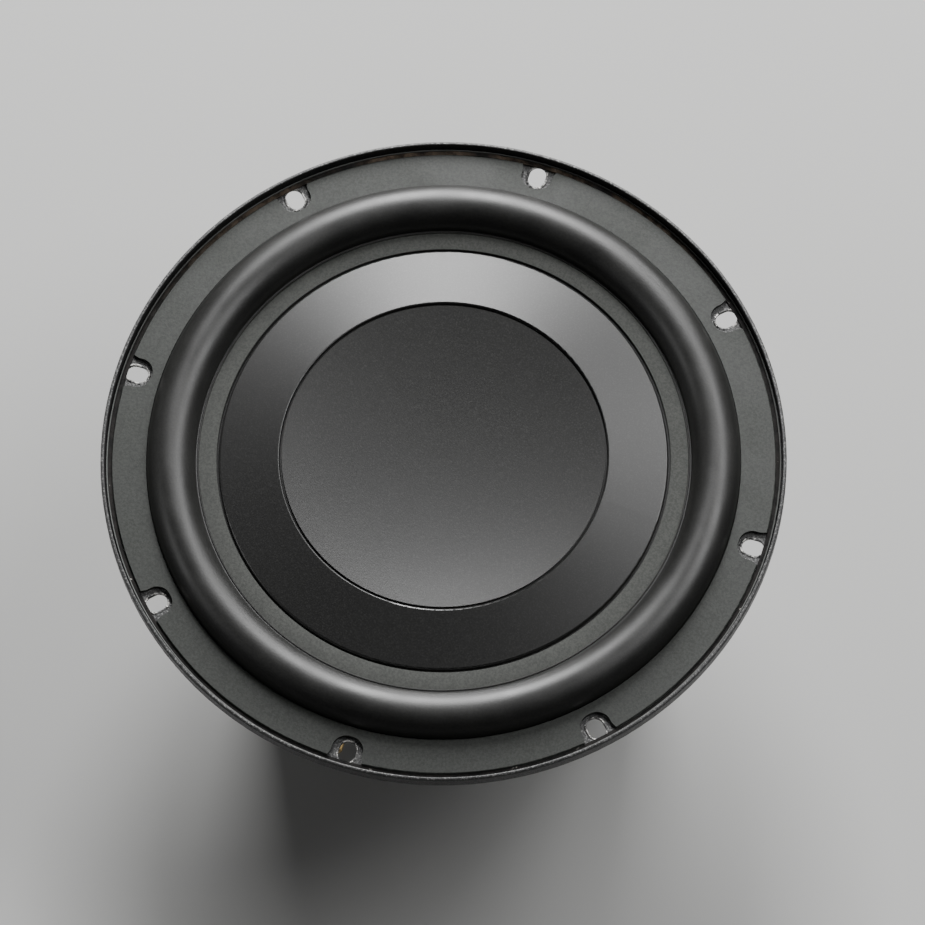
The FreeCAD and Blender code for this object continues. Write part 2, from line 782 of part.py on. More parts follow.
def make_terminal_block():
    """Moulded block whose inner face lies along the sloping spoke at -Y."""
    body = new_body("terminal_block")
    sketch = new_sketch(body, "side", "YZ_Plane")
    shift = "rib_height + block_clearance"
    draw_outline(sketch, [
        (f"-({wall_radius('block_top_depth')} + {shift})", "-block_top_depth"),
        (f"-({wall_radius('block_low_depth')} + {shift})", "-block_low_depth"),
        ("-block_face_reach + 3.5", "-block_low_depth", "2"),
        ("-block_face_reach", "-block_low_depth + 3.5", "1.5"),
        ("-block_face_reach", "-block_top_depth", "1"),
    ])
    pad = body.newObject("PartDesign::Pad", "terminal_block_pad")
    pad.Profile = sketch
    pad.SideType = "Symmetric"
    bind(pad, Length="2 * block_half_width")
    doc.recompute()
    holes = new_sketch(body, "holes", "XZ_Plane")
    for side in ("-", ""):
        draw_circle(holes, f"{side}post_offset", "-post_depth", "tail_radius + 0.05")
    for depth in ("block_rivet_high_depth", "block_rivet_low_depth"):
        draw_circle(holes, "0", f"-{depth}", "block_rivet_radius + rivet_clearance")
    cut_through(body, holes, both_ways=False, reverse=True)
    seats = new_sketch(body, "post_seats", "XZ_Plane", rise="post_foot_reach - 0.05")
    for side in ("-", ""):
        draw_circle(seats, f"{side}post_offset", "-post_depth", "post_radius + 0.05")
    cut_through(body, seats, both_ways=False, reverse=True)
    return body


def make_terminal_rivets():
    """Two rivets from the block's face through the spoke, each closed over inside."""
    pieces = []
    face = "block_face_reach + 0.02"
    for label, depth in (("high", "block_rivet_high_depth"), ("low", "block_rivet_low_depth")):
        inside = f"({wall_radius(depth)} - wall_shift - 3.6)"
        shank = toward_back(f"terminal_rivet_{label}_shank", "block_rivet_radius",
                            inside, f"{face} + 0.4", "0", f"-{depth}")
        head = toward_back(f"terminal_rivet_{label}_head", "block_rivet_head_radius",
                           face, f"{face} + block_rivet_head_height", "0", f"-{depth}")
        pieces += [shank, head]
    return join("terminal_rivets", *pieces)


def make_terminal_post(label, side):
    """Turned barrel with a collar, a blind bore for the button and a cross hole for the wire;
    its tail runs through the block and the window beside the spoke."""
    x_text = f"{side}post_offset"
    depth = "-post_depth"
    face = "block_face_reach + 0.02"
    pieces = [
        toward_back(f"{label}_collar", "post_collar_radius", face,
                    f"{face} + post_collar_length", x_text, depth),
        toward_back(f"{label}_barrel", "post_radius", "post_foot_reach", "post_reach",
                    x_text, depth),
        toward_back(f"{label}_tail", "tail_radius", "tail_reach", "post_foot_reach + 0.5",
                    x_text, depth),
    ]
    solid = join(f"{label}_solid", *pieces)
    bore = toward_back(f"{label}_bore", "post_bore_radius", "post_foot_reach + post_floor",
                       "post_reach + 1", x_text, depth)
    across = upright(f"{label}_wire_hole", "wire_hole_radius", f"{depth} - 8", f"{depth} + 8",
                     x_text, "-wire_hole_reach")
    drilled = cut(f"{label}_drilled", solid, bore, across)
    drilled.Refine = True
    doc.recompute()
    rim = [number for number, edge in enumerate(drilled.Shape.Edges, start=1)
           if isinstance(edge.Curve, Part.Circle)
           and abs(edge.Curve.Radius - size("post_radius")) < 0.01
           and abs(edge.Curve.Center.y + size("post_reach")) < 0.01]
    rounded = doc.addObject("Part::Fillet", label)
    rounded.Base = drilled
    rounded.Edges = [(number, 0.5, 0.5) for number in rim]
    return rounded


def make_push_button(label, side):
    """Plunger with a waist for the wire and a rounded cap that stands out of the barrel."""
    x_text = f"{side}post_offset"
    depth = "-post_depth"
    pieces = [
        toward_back(f"{label}_foot", "button_radius", "button_foot_reach",
                    "button_foot_reach + button_foot_length", x_text, depth),
        toward_back(f"{label}_waist", "button_waist_radius", "button_foot_reach",
                    "button_reach - 1", x_text, depth),
        toward_back(f"{label}_cap", "button_radius", "button_waist_reach",
                    "button_reach", x_text, depth),
    ]
    solid = join(f"{label}_solid", *pieces)
    doc.recompute()
    rim = [number for number, edge in enumerate(solid.Shape.Edges, start=1)
           if isinstance(edge.Curve, Part.Circle)
           and abs(edge.Curve.Center.y + size("button_reach")) < 0.01]
    rounded = doc.addObject("Part::Fillet", label)
    rounded.Base = solid
    rounded.Edges = [(number, 1.0, 1.0) for number in rim]
    return rounded


def make_button_spring(label, side):
    """Coil spring of eight-sided wire between the barrel's floor and the button's foot."""
    foot = "post_foot_reach + post_floor"
    free = f"button_foot_reach - ({foot}) - 2 * spring_wire_radius - 0.1"
    helix = doc.addObject("Part::Helix", f"{label}_line")
    bind(helix, Radius="spring_radius", Height=free, Pitch="spring_pitch")
    wire = doc.addObject("Part::RegularPolygon", f"{label}_wire")
    wire.Polygon = 8
    wire.Placement = Placement(Vector(0, 0, 0), Rotation(Vector(1, 0, 0), 90))
    bind(wire, Circumradius="spring_wire_radius", place_x="spring_radius")
    coil = doc.addObject("Part::Sweep", label)
    coil.Sections = [wire]
    coil.Spine = (helix, ["Edge1"])
    coil.Solid = True
    coil.Frenet = True
    coil.Placement = Placement(Vector(0, 0, 0), Rotation(Vector(1, 0, 0), 90))
    near = f"{foot} + spring_wire_radius + 0.05"
    bind(coil, place_x=f"{side}post_offset", place_y=f"-({near})", place_z="-post_depth")
    return coil


def make_solder_lug(label, side):
    """Tinned tab on the post's tail, inside the basket."""
    x_text = f"{side}post_offset"
    inner = "-tail_reach - 1.2"
    tab = slab(f"{label}_tab", f"{x_text} - lug_width / 2", f"{x_text} + lug_width / 2",
               f"{inner} - lug_thickness", inner,
               "-post_depth - lug_width / 2", "-post_depth - lug_width / 2 + lug_length")
    hole = toward_back(f"{label}_hole", "tail_radius + 0.03", "tail_reach - 2",
                       "tail_reach + 6", x_text, "-post_depth")
    eye = toward_back(f"{label}_eye", "lead_radius + 0.05", "tail_reach - 2",
                      "tail_reach + 6", x_text, "-post_depth + 4")
    return cut(label, tab, hole, eye)


# ---------------------------------------------------------------------- the braided leads

# Route of the lead on +X, from the lug's eye to the eyelet on the back of the cone. It hangs
# in a shallow loop, with enough slack for the cone's whole travel.
LEAD_ROUTE = [
    Vector(12.0, -82.2, -30.0),
    Vector(12.0, -75.0, -30.0),
    Vector(13.0, -66.5, -34.4),
    Vector(14.2, -57.5, -35.4),
    Vector(14.8, -49.0, -31.6),
    Vector(14.3, -41.8, -26.2),
    Vector(12.8, -36.5, -20.8),
]


def lead_path(route):
    """Straight runs joined by tangent arcs, each as large as its two runs allow."""
    edges = []
    start = route[0]
    for before, corner, after in zip(route, route[1:], route[2:]):
        back = (before - corner).normalize()
        on = (after - corner).normalize()
        run = min(before.distanceToPoint(corner), after.distanceToPoint(corner))
        half_turn = (math.pi - back.getAngle(on)) / 2
        reach = 0.45 * run
        radius = reach / math.tan(half_turn)
        centre = corner + (back + on).normalize() * (radius / math.cos(half_turn))
        middle = centre + (corner - centre).normalize() * radius
        first, last = corner + back * reach, corner + on * reach
        edges += [Part.LineSegment(start, first).toShape(), Part.Arc(first, middle, last).toShape()]
        print(f"lead bend radius {radius:.1f} mm")
        start = last
    edges.append(Part.LineSegment(start, route[-1]).toShape())
    return Part.Wire(edges)


def make_lead(label, side):
    route = [Vector(side * point.x, point.y, point.z) for point in LEAD_ROUTE]
    path = lead_path(route)
    radius = size("lead_radius")
    circle = Part.Circle(route[0], (route[1] - route[0]).normalize(), radius)
    section = Part.Wire([circle.toShape()])
    lead = doc.addObject("Part::Feature", label)
    lead.Shape = path.makePipeShell([section], True, True)
    expected = math.pi * radius ** 2 * path.Length
    print(f"{label}: length {path.Length:.1f} mm, volume ratio {lead.Shape.Volume / expected:.4f}")
    lead.Placement = Placement(Vector(0, 0, 0), Rotation())
    return lead


def make_lead_eyelets():
    """Two small rings through which the leads pass into the cone."""
    pieces = []
    end, before = LEAD_ROUTE[-1], LEAD_ROUTE[-2]
    for name, side in (("positive", 1), ("negative", -1)):
        along = Vector(side * (end.x - before.x), end.y - before.y, end.z - before.z).normalize()
        ring = cut(
            f"lead_eyelet_{name}",
            upright(f"lead_eyelet_{name}_outside", "eyelet_radius", "0", "eyelet_length"),
            upright(f"lead_eyelet_{name}_inside", "eyelet_bore_radius", "0", "eyelet_length"),
        )
        centre = Vector(side * end.x, end.y, end.z) - along * size("eyelet_length - 0.7")
        ring.Placement = Placement(centre, Rotation(Vector(0, 0, 1), along))
        pieces.append(ring)
    return join("lead_eyelets", *pieces)


# ------------------------------------------------------------------------------- making

subparts = [
    make_basket(),
    make_gasket(),
    make_surround(),
    make_spider(),
    make_cone_ring(),
    make_dust_cap(),
    make_cone_body(),
    make_coil_former(),
    make_voice_coil(),
    make_top_plate(),
    make_magnet("magnet_upper", MAGNET_JOIN, PLATE_LOW),
    make_magnet("magnet_lower", MAGNET_LOW, MAGNET_JOIN),
    make_yoke(),
    make_shorting_ring(),
    make_vent_screen(),
    make_frame_rivets(),
    make_terminal_block(),
    make_terminal_rivets(),
    make_lead_eyelets(),
]
for pole, sign, direction in (("positive", "", 1), ("negative", "-", -1)):
    subparts += [
        make_terminal_post(f"terminal_post_{pole}", sign),
        make_push_button(f"push_button_{pole}", sign),
        make_button_spring(f"button_spring_{pole}", sign),
        make_solder_lug(f"solder_lug_{pole}", sign),
        make_lead(f"tinsel_lead_{pole}", direction),
    ]

doc.recompute()
for item in doc.Objects:
    if "Invalid" in item.State or "Error" in item.State:
        raise RuntimeError(f"{item.Name} failed: {item.State}")
for subpart in subparts:
    if subpart.Shape.isNull() or not subpart.Shape.isValid():
        raise RuntimeError(f"{subpart.Label} has no valid shape")
for subpart in subparts:
    subpart.Shape.exportStep(f"parts/{subpart.Label}.step")
    box = subpart.Shape.BoundBox
    print(f"{subpart.Label:24s} solids {len(subpart.Shape.Solids):2d}  "
          f"volume {subpart.Shape.Volume:11.1f}  z {box.ZMin:8.2f} to {box.ZMax:7.2f}")
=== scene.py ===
import math
import random

import bmesh
import bpy
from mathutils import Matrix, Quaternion, Vector
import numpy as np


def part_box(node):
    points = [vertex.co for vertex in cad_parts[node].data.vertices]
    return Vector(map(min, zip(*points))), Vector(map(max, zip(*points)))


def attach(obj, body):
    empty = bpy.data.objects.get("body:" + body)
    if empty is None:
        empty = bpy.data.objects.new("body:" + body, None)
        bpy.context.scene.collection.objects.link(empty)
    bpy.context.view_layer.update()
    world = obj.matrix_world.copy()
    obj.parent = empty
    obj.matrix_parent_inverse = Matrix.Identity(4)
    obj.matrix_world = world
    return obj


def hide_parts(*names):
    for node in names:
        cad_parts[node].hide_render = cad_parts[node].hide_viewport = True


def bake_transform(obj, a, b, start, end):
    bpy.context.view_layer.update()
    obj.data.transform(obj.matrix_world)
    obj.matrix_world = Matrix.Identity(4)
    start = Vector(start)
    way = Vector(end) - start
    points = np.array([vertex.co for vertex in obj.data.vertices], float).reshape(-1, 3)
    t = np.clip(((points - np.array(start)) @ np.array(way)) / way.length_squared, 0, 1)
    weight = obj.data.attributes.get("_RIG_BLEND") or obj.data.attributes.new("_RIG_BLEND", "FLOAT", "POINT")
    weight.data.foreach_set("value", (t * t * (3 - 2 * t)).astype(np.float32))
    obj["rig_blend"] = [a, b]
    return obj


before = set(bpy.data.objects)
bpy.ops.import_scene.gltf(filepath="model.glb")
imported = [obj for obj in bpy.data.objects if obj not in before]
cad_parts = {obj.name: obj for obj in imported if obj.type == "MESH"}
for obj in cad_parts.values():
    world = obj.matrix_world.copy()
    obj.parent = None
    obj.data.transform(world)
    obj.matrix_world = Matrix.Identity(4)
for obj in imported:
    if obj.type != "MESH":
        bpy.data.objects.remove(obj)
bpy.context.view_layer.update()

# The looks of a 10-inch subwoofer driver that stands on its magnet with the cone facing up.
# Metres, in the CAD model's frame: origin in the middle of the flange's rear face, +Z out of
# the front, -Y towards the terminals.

MM = 0.001
TURN = 2 * math.pi
SCREWS = 8
FAR_SIDE = math.radians(109.1)  # the bearing, from +X, of the rim's point furthest from the camera


# ------------------------------------------------------------------ sizes, from the frame


def top_of(node):
    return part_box(node)[1].z


def low_of(node):
    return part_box(node)[0].z


def reach_of(node):
    """Outer radius of a round node."""
    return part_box(node)[1].x


LIP_FRONT = top_of("basket")
FLANGE_FLOOR = low_of("gasket_ring")
GASKET_TOP = top_of("gasket_ring")
GROOVE_INNER = 128.8 * MM
GROOVE_OUTER = 130.4 * MM
GROOVE_FLOOR = FLANGE_FLOOR + 0.4 * MM
CROWN = top_of("surround")
RUBBER_OUTER = reach_of("surround")
ROLL_INNER = 96.2 * MM
ROLL_OUTER = 115.2 * MM
LANDING_INNER = 88.05 * MM
LANDING_INNER_TOP = 3.55 * MM
LANDING_OUTER_TOP = 3.0 * MM
RUBBER = 1.2 * MM
SCREW_CIRCLE = 125 * MM
SLOT_RADIUS = 3.4 * MM
SLOT_STRAIGHT = 2.1 * MM


# ---------------------------------------------------------------------- shader node helper


class Look:
    """One procedural material. Coordinates are the object's own, so the scales of noises and
    cells are per metre, and the depths of bumps are in metres."""

    def __init__(self, name, color, roughness=0.5, metallic=0.0, **sockets):
        self.material = bpy.data.materials.new(name)
        self.material.use_nodes = True
        self.tree = self.material.node_tree
        self.shader = self.tree.nodes["Principled BSDF"]
        self.shader.inputs["Base Color"].default_value = (*color, 1.0)
        self.shader.inputs["Roughness"].default_value = roughness
        self.shader.inputs["Metallic"].default_value = metallic
        for socket, value in sockets.items():
            self.shader.inputs[socket.replace("_", " ")].default_value = value
        self.place = self.add("ShaderNodeTexCoord").outputs["Object"]

    def add(self, kind, inputs=(), **properties):
        """A node with its properties set; inputs are values or outputs of other nodes."""
        node = self.tree.nodes.new(kind)
        for name, value in properties.items():
            setattr(node, name, value)
        for socket, value in dict(inputs).items():
            if isinstance(value, bpy.types.NodeSocket):
                self.tree.links.new(value, node.inputs[socket])
            else:
                node.inputs[socket].default_value = value
        return node

    def math(self, operation, first, second=0.0):
        return self.add("ShaderNodeMath", {0: first, 1: second}, operation=operation).outputs[0]

    def length(self, first, second):
        """Length of a vector from its two parts."""
        return self.math("SQRT", self.math("ADD", self.math("MULTIPLY", first, first),
                                           self.math("MULTIPLY", second, second)))

    def noise(self, scale, detail=2.0, roughness=0.5, place=None, distortion=0.0):
        inputs = {"Vector": place or self.place, "Scale": scale, "Detail": detail,
                  "Roughness": roughness, "Distortion": distortion}
        return self.add("ShaderNodeTexNoise", inputs).outputs["Fac"]

    def cells(self, scale):
        inputs = {"Vector": self.place, "Scale": scale}
        return self.add("ShaderNodeTexVoronoi", inputs).outputs["Distance"]

    def stretch(self, low, high, value, new_low=0.0, new_high=1.0):
        """Map a range of a value smoothly onto another range."""
        inputs = {"Value": value, "From Min": low, "From Max": high, "To Min": new_low,
                  "To Max": new_high}
        node = self.add("ShaderNodeMapRange", inputs, interpolation_type="SMOOTHSTEP")
        return node.outputs["Result"]

    def blend(self, share, first, second):
        """Mix of two colours; each is a tuple or an output."""
        node = self.add("ShaderNodeMix", data_type="RGBA")
        for index, value in ((0, share), (6, first), (7, second)):
            if isinstance(value, bpy.types.NodeSocket):
                self.tree.links.new(value, node.inputs[index])
            else:
                node.inputs[index].default_value = value if index == 0 else (*value, 1.0)
        return node.outputs[2]

    def axes(self):
        return self.add("ShaderNodeSeparateXYZ", {0: self.place}).outputs

    def upward(self):
        """1 where the surface faces the front, 0 on its sides, less than 0 behind."""
        facing = self.add("ShaderNodeTexCoord").outputs["Normal"]
        return self.add("ShaderNodeSeparateXYZ", {0: facing}).outputs[2]

    def radius(self):
        """Distance from the cone's axis."""
        x, y, _ = self.axes()
        return self.length(x, y)

    def color(self, value):
        self.tree.links.new(value, self.shader.inputs["Base Color"])

    def rough(self, noise, smoothest, roughest):
        """Roughness that follows a noise, most of which lies between 0.3 and 0.7."""
        value = self.stretch(0.3, 0.7, noise, smoothest, roughest)
        self.tree.links.new(value, self.shader.inputs["Roughness"])

    def metal(self, value):
        self.tree.links.new(value, self.shader.inputs["Metallic"])

    def bump(self, height, depth, strength=1.0):
        """Bump whose full height is depth metres; bumps given one after the other add up."""
        inputs = {"Height": height, "Distance": depth, "Strength": strength}
        held = self.shader.inputs["Normal"]
        if held.is_linked:
            inputs["Normal"] = held.links[0].from_socket
        self.tree.links.new(self.add("ShaderNodeBump", inputs).outputs[0], held)


# ------------------------------------------------------------------------------- materials


def powder_coat():
    """Fine-textured black coat, chipped to bare steel on the rims of the screw slots. Faces that
    face the front are painted paler and speckled, a painted highlight; the sides are darker, painted shade."""
    look = Look("powder_coat", (0.045, 0.045, 0.045), 0.55, Specular_IOR_Level=0.6)
    grain = look.noise(1500, 2.0, 0.6)
    look.bump(grain, 0.16 * MM)
    look.bump(look.noise(420, 3.0), 0.12 * MM)
    speckle = look.stretch(0.5, 0.68, look.noise(1300, 2.0, 0.7))
    cloud = look.noise(60, 4.0)
    body = look.blend(cloud, (0.036, 0.036, 0.037), (0.07, 0.07, 0.069))
    # Painted light: faces towards the front get the paler, speckled colour, a painted highlight, and the
    # sides and back the darker one, painted shade.
    painted_lit_front = look.blend(speckle, body, (0.24, 0.24, 0.236))
    plain = look.blend(cloud, (0.014, 0.014, 0.0145), (0.024, 0.024, 0.024))
    coat = look.blend(look.stretch(0.45, 0.9, look.upward()), plain, painted_lit_front)
    chips = slot_edge_chips(look)
    look.color(look.blend(chips, coat, (0.55, 0.54, 0.52)))
    look.metal(look.math("MULTIPLY", chips, 0.9))
    look.rough(grain, 0.36, 0.58)
    return look.material


def slot_edge_chips(look):
    """1 in flakes along the screw slots' front edges, 0 elsewhere."""
    x, y, z = look.axes()
    angle = look.math("ARCTAN2", x, y)
    turns = look.math("MULTIPLY", angle, SCREWS / TURN)
    within = look.math("SUBTRACT", turns, look.math("ROUND", turns))
    folded = look.math("MULTIPLY", within, TURN / SCREWS)
    radius = look.radius()
    across = look.math("MULTIPLY", radius, look.math("SINE", folded))
    along = look.math("SUBTRACT", look.math("MULTIPLY", radius, look.math("COSINE", folded)),
                      SCREW_CIRCLE)
    past = look.math("SUBTRACT", look.math("ABSOLUTE", along), SLOT_STRAIGHT / 2)
    beyond = look.math("MAXIMUM", past, 0.0)
    distance = look.length(across, beyond)
    near_edge = look.stretch(SLOT_RADIUS + 0.8 * MM, SLOT_RADIUS + 0.2 * MM, distance)
    front = look.stretch(0.4 * MM, 1.2 * MM, z)
    flakes = look.stretch(0.50, 0.56, look.noise(420, 3.0, 0.6))
    return look.math("MULTIPLY", look.math("MULTIPLY", near_edge, front), flakes)


def two_grains(look, broad, scale, dark, light):
    """Colour between a dark and a light pair by a fine grain; each pair by a broad noise."""
    fine = look.stretch(0.35, 0.65, look.noise(scale, 3.0, 0.7))
    return look.blend(fine, look.blend(broad, *dark), look.blend(broad, *light))


def gasket_rubber():
    """Smudged grey-black sheet; the bead beyond the groove is painted paler, a painted highlight."""
    look = Look("gasket_rubber", (0.028, 0.03, 0.028), 0.62, Specular_IOR_Level=0.6)
    smudge = look.noise(38, 4.0, 0.55)
    sheet = two_grains(look, smudge, 1000,
                       ((0.0145, 0.0162, 0.0145), (0.031, 0.034, 0.03)),
                       ((0.027, 0.031, 0.027), (0.056, 0.061, 0.054)))
    # Painted highlight: the bead beyond the groove gets a pale colour that stands in for light falling on
    # it.
    bead = look.stretch(GROOVE_OUTER - 0.1 * MM, GROOVE_OUTER + 0.2 * MM, look.radius())
    look.color(look.blend(bead, sheet, (0.13, 0.134, 0.128)))
    look.bump(look.noise(900, 3.0, 0.65), 0.06 * MM)
    look.bump(look.noise(70, 3.0), 0.12 * MM)
    look.rough(smudge, 0.56, 0.7)
    return look.material


def roll_rubber():
    """Dark rubber with a soft sheen."""
    look = Look("roll_rubber", (0.01, 0.01, 0.0097), 0.44, Specular_IOR_Level=0.9)
    haze = look.noise(55, 4.0)
    look.color(two_grains(look, haze, 1200,
                          ((0.003, 0.003, 0.0028), (0.009, 0.009, 0.008)),
                          ((0.01, 0.01, 0.0092), (0.022, 0.022, 0.02))))
    look.bump(look.noise(1200, 3.0, 0.6), 0.03 * MM)
    look.bump(look.noise(90, 2.0), 0.06 * MM)
    look.rough(haze, 0.4, 0.48)
    return look.material


def landing_rubber():
    """The same rubber where it is glued down, duller and dusty."""
    look = Look("landing_rubber", (0.07, 0.072, 0.068), 0.75, Specular_IOR_Level=0.3)
    look.color(two_grains(look, look.noise(60, 4.0), 1100,
                          ((0.046, 0.048, 0.045), (0.064, 0.067, 0.062)),
                          ((0.07, 0.073, 0.068), (0.092, 0.095, 0.088))))
    look.bump(look.noise(1100, 3.0, 0.6), 0.04 * MM)
    return look.material


def scaled(color, factor):
    return tuple(part * factor for part in color)


def satin(name, base, grain_depth, roughness):
    """Satin lacquer over a moulded grain."""
    look = Look(name, base, roughness, Specular_IOR_Level=0.8)
    tone = look.noise(24, 3.0)
    broad = look.blend(tone, scaled(base, 0.85), scaled(base, 1.1))
    sparkle = look.stretch(0.45, 0.75, look.noise(1700, 2.0, 0.7))
    look.color(look.blend(sparkle, broad, scaled(base, 2.4)))
    pits = look.stretch(0.0, 0.6, look.cells(1500))
    look.bump(pits, grain_depth, 0.5)
    look.bump(look.noise(2600, 2.0, 0.7), grain_depth * 0.5)
    fine = look.noise(1500, 2.0, 0.6)
    look.rough(fine, roughness - 0.02, roughness + 0.02)
    return look.material


def pulp():
    """Pressed paper, with its fibres showing."""
    look = Look("cone_pulp", (0.035, 0.034, 0.033), 0.85, Specular_IOR_Level=0.25)
    fibre = look.noise(500, 5.0, 0.7, distortion=1.5)
    look.color(look.blend(fibre, (0.02, 0.02, 0.02), (0.055, 0.053, 0.05)))
    look.bump(fibre, 0.25 * MM)
    return look.material


def spider_cloth():
    """Plain weave, stiffened with amber resin."""
    look = Look("spider_cloth", (0.45, 0.3, 0.13), 0.7)
    x, y, _ = look.axes()
    pitch = TURN / (0.75 * MM)
    warp = look.math("SINE", look.math("MULTIPLY", x, pitch))
    weft = look.math("SINE", look.math("MULTIPLY", y, pitch))
    weave = look.math("MULTIPLY", warp, weft)
    thread = look.math("ADD", look.math("MULTIPLY", weave, 0.5), 0.5)
    stain = look.noise(45, 4.0)
    body = look.blend(stain, (0.36, 0.22, 0.085), (0.5, 0.35, 0.16))
    look.color(look.blend(look.stretch(0.0, 0.45, thread), (0.16, 0.09, 0.035), body))
    look.bump(thread, 0.12 * MM)
    return look.material


def plated_steel():
    """Dark zinc plating over turned steel."""
    look = Look("plated_steel", (0.11, 0.11, 0.115), 0.38, 0.85)
    stain = look.noise(30, 5.0, 0.6)
    look.color(look.blend(stain, (0.075, 0.075, 0.08), (0.15, 0.15, 0.155)))
    turned = look.math("SINE", look.math("MULTIPLY", look.radius(), TURN / (0.35 * MM)))
    look.bump(turned, 0.012 * MM)
    look.bump(look.noise(700, 3.0), 0.03 * MM)
    look.rough(stain, 0.32, 0.5)
    return look.material


def ferrite():
    """Ground magnet, scratched round its side."""
    look = Look("ferrite", (0.04, 0.04, 0.042), 0.55, Specular_IOR_Level=0.5)
    tone = look.noise(35, 5.0, 0.6)
    look.color(look.blend(tone, (0.028, 0.028, 0.03), (0.056, 0.056, 0.059)))
    scratches = look.noise(60, 3.0, 0.6, place=stretched(look, (1, 1, 60)))
    look.bump(scratches, 0.05 * MM)
    look.bump(look.noise(900, 2.0), 0.04 * MM)
    look.rough(look.noise(160, 3.0), 0.46, 0.66)
    return look.material


def stretched(look, factors):
    """The object's coordinates, each multiplied by its own factor."""
    node = look.add("ShaderNodeMapping", {"Vector": look.place, "Scale": factors})
    return node.outputs[0]


def bright_metal(name, color, roughness, scratch_depth=0.01 * MM):
    look = Look(name, color, roughness, 1.0)
    tone = look.noise(220, 3.0)
    look.color(look.blend(tone, scaled(color, 0.88), color))
    look.bump(look.noise(1600, 2.0), scratch_depth)
    look.rough(tone, roughness * 0.8, roughness * 1.25)
    return look.material


def wound_copper():
    """Enamelled wire, one turn every third of a millimetre."""
    look = Look("wound_copper", (0.55, 0.2, 0.08), 0.3, 0.9)
    _, _, z = look.axes()
    turns = look.math("SINE", look.math("MULTIPLY", z, TURN / (0.34 * MM)))
    look.bump(turns, 0.08 * MM)
    look.color(look.blend(look.noise(90, 3.0), (0.45, 0.15, 0.06), (0.62, 0.26, 0.1)))
    return look.material


def moulded(name, color, roughness, grain=0.02 * MM):
    look = Look(name, color, roughness)
    tone = look.noise(130, 3.0)
    look.color(look.blend(tone, scaled(color, 0.85), color))
    look.bump(look.noise(1400, 2.0), grain)
    look.rough(tone, roughness * 0.9, roughness * 1.1)
    return look.material


def dried_glue():
    """Black glue with pale flecks, brown in patches on the far side."""
    look = Look("dried_glue", (0.03, 0.025, 0.02), 0.75, Specular_IOR_Level=0.2)
    tone = look.noise(260, 4.0, 0.65)
    x, y, _ = look.axes()
    far = look.math("ADD", look.math("MULTIPLY", x, math.cos(FAR_SIDE)),
                    look.math("MULTIPLY", y, math.sin(FAR_SIDE)))
    patches = look.stretch(0.42, 0.56, look.noise(26, 3.0, 0.6))
    far_share = look.math("MULTIPLY", look.stretch(0.06, 0.12, far), patches)
    clotted = look.stretch(0.35, 0.6, tone)
    brown = look.blend(clotted, (0.03, 0.022, 0.016), (0.12, 0.09, 0.066))
    dark = look.blend(clotted, (0.008, 0.008, 0.008), (0.022, 0.02, 0.019))
    plain = look.blend(far_share, dark, brown)
    look.color(look.blend(look.stretch(0.69, 0.73, tone), plain, (0.42, 0.4, 0.37)))
    look.bump(look.noise(900, 3.0), 0.15 * MM)
    return look.material


SATIN_RING = (0.012, 0.012, 0.0116)
SATIN_DISH = (0.017, 0.017, 0.0164)


def paint_nodes():
    """Give every CAD node its material."""
    steel, gold = plated_steel(), bright_metal("gold_plate", (0.83, 0.58, 0.24), 0.16)
    zinc = bright_metal("zinc_plate", (0.55, 0.55, 0.56), 0.34)
    tinned = bright_metal("tinned_brass", (0.62, 0.6, 0.55), 0.3)
    spring = bright_metal("spring_wire", (0.5, 0.5, 0.5), 0.25)
    magnet, copper = ferrite(), wound_copper()
    looks = {
        "basket": powder_coat(),
        "gasket_ring": gasket_rubber(),
        "cone_ring": satin("satin_cone", SATIN_RING, 0.008 * MM, 0.33),
        "dust_cap": satin("satin_dish", SATIN_DISH, 0.014 * MM, 0.33),
        "cone_body": pulp(),
        "coil_former": bright_metal("former_foil", (0.7, 0.7, 0.7), 0.4),
        "voice_coil": copper,
        "top_plate": steel,
        "magnet_upper": magnet,
        "magnet_lower": magnet,
        "yoke": steel,
        "shorting_ring": bright_metal("turned_aluminium", (0.75, 0.75, 0.76), 0.3),
        "vent_screen": moulded("screen_paint", (0.03, 0.03, 0.03), 0.5),
        "frame_rivets": zinc,
        "terminal_block": moulded("terminal_plastic", (0.018, 0.018, 0.019), 0.5, 0.05 * MM),
        "terminal_rivets": zinc,
        "lead_eyelets": tinned,
    }
    for pole, color in (("positive", (0.45, 0.012, 0.012)), ("negative", (0.012, 0.012, 0.012))):
        looks[f"terminal_post_{pole}"] = gold
        looks[f"push_button_{pole}"] = moulded(f"button_{pole}", color, 0.3, 0.01 * MM)
        looks[f"button_spring_{pole}"] = spring
        looks[f"solder_lug_{pole}"] = tinned
    for name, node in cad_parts.items():
        if name in looks:
            node.data.materials.clear()
            node.data.materials.append(looks[name])
    return looks


# ---------------------------------------------------------------------------- mesh helpers


def new_mesh(name, verts, faces, sharp):
    """A piece with outward faces, shaded smooth up to the sharp angle in degrees."""
    mesh = bpy.data.meshes.new(name)
    mesh.from_pydata([tuple(vert) for vert in verts], [], faces)
    mesh.validate()
    work = bmesh.new()
    work.from_mesh(mesh)
    bmesh.ops.recalc_face_normals(work, faces=work.faces)
    work.to_mesh(mesh)
    work.free()
    mesh.shade_smooth()
    mesh.set_sharp_from_angle(angle=math.radians(sharp))
    piece = bpy.data.objects.new(name, mesh)
    bpy.context.scene.collection.objects.link(piece)
    return piece


